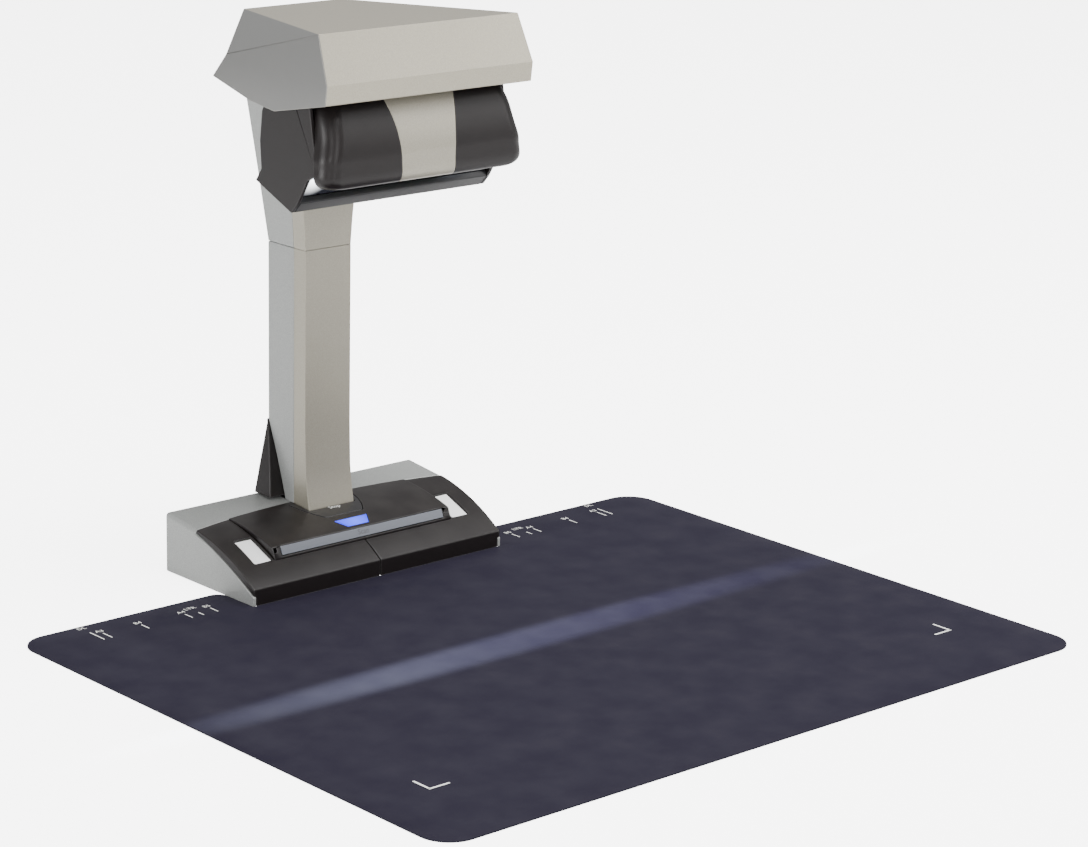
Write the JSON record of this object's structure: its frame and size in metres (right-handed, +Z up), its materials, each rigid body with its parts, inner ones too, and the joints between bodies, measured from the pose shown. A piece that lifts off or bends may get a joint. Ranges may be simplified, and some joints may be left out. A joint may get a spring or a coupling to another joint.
{
  "type": "overhead document scanner",
  "caption": "Overhead document scanner: a tilting scanning unit in a wedge-shaped head on a column, over a weighted base docked in a dark mat.",
  "frame": {"origin": "on the table, under the middle of the whole object (middle of its footprint, mat included)", "axes": "+Z up, +X to the right of a person facing the scanner from the mat side, -Y towards that person, +Y towards the column and the sockets"},
  "size_m": [0.525, 0.493, 0.374],
  "materials": {
    "mat": "fine matt weave, backed with rubber",
    "grey_cover": "fine satin",
    "black_cover": "fine satin",
    "white_sheet": "matt white",
    "status_lens": "clear, lit from below",
    "key_black": "satin",
    "scan_bar": "satin silver lacquer",
    "steel": "zinc plated",
    "screw_steel": "zinc plated",
    "foot_rubber": "matt",
    "ballast": "painted cast iron",
    "board": "green solder mask",
    "socket_black": "matt",
    "warm_silver": "satin silver lacquer on plastic",
    "window": "clear",
    "lens_glass": "coated",
    "barrel": "ribbed, matt",
    "lamp": "clear lamp",
    "bush_bronze": "sintered bronze",
    "gear_nylon": "natural",
    "motor_can": "drawn"
  },
  "bodies": {
    "stand": {"background_mat": "mat", "base_cover": "grey_cover", "left_front_cover": "black_cover", "right_front_cover": "black_cover", "left_reference_sheet": "white_sheet", "right_reference_sheet": "white_sheet", "centre_panel": "black_cover", "power_lens": "status_lens", "base_plate": "steel", "rubber_feet": "foot_rubber", "base_screws": "screw_steel", "counterweight": "ballast", "main_board": "board", "dc_jack": "socket_black", "usb_socket": "steel", "key_board": "board", "stop_switch": "socket_black", "scan_switch": "socket_black", "column_post": "steel", "lower_front_cover": "warm_silver", "lower_rear_cover": "grey_cover", "rear_foot": "black_cover", "upper_front_cover": "warm_silver", "upper_rear_cover": "grey_cover", "post_cap": "steel", "head_frame": "steel", "head_screws": "screw_steel", "head_cover": "warm_silver", "left_bush": "bush_bronze", "right_bush": "bush_bronze", "stepper_motor": "motor_can", "motor_bracket": "steel"},
    "scanning_unit": {"left_end_cap": "black_cover", "right_end_cap": "black_cover", "left_stub_shaft": "steel", "right_stub_shaft": "steel", "unit_rear_shell": "black_cover", "lower_lip": "key_black", "unit_front_shell": "black_cover", "silver_band": "warm_silver", "unit_frame": "steel", "lens_barrel": "barrel", "front_lens": "lens_glass", "sensor_board": "board", "window_glass": "window", "lamp_board": "board", "left_lamp": "lamp", "right_lamp": "lamp", "unit_gear": "gear_nylon"},
    "motor_rotor": {"motor_pinion": "bush_bronze"},
    "stop_key": {"stop_button": "key_black"},
    "scan_key": {"scan_button": "scan_bar"}
  },
  "joints": [
    {"name": "unit_tilt", "type": "hinge", "parent": "stand", "child": "scanning_unit", "pos_m": [0, 0.1265, 0.334], "axis": [1, 0, 0], "range_deg": [-18, 24]},
    {"name": "motor_spin", "type": "hinge", "parent": "stand", "child": "motor_rotor", "pos_m": [0, 0.14262, 0.35012], "axis": [1, 0, 0], "range_deg": [-95, 72]},
    {"name": "stop_press", "type": "slide", "parent": "stand", "child": "stop_key", "axis": [0, 0, -1], "range_m": [0, 0.001], "stiffness_N_per_m": 1500, "springref_m": -0.0003},
    {"name": "scan_press", "type": "slide", "parent": "stand", "child": "scan_key", "axis": [0, 0.9191, -0.3939], "range_m": [0, 0.0012], "stiffness_N_per_m": 1200, "springref_m": -0.0003}
  ],
  "couplings": [
    {"joint": "motor_spin", "follows": "unit_tilt", "ratio": -3.75}
  ]
}
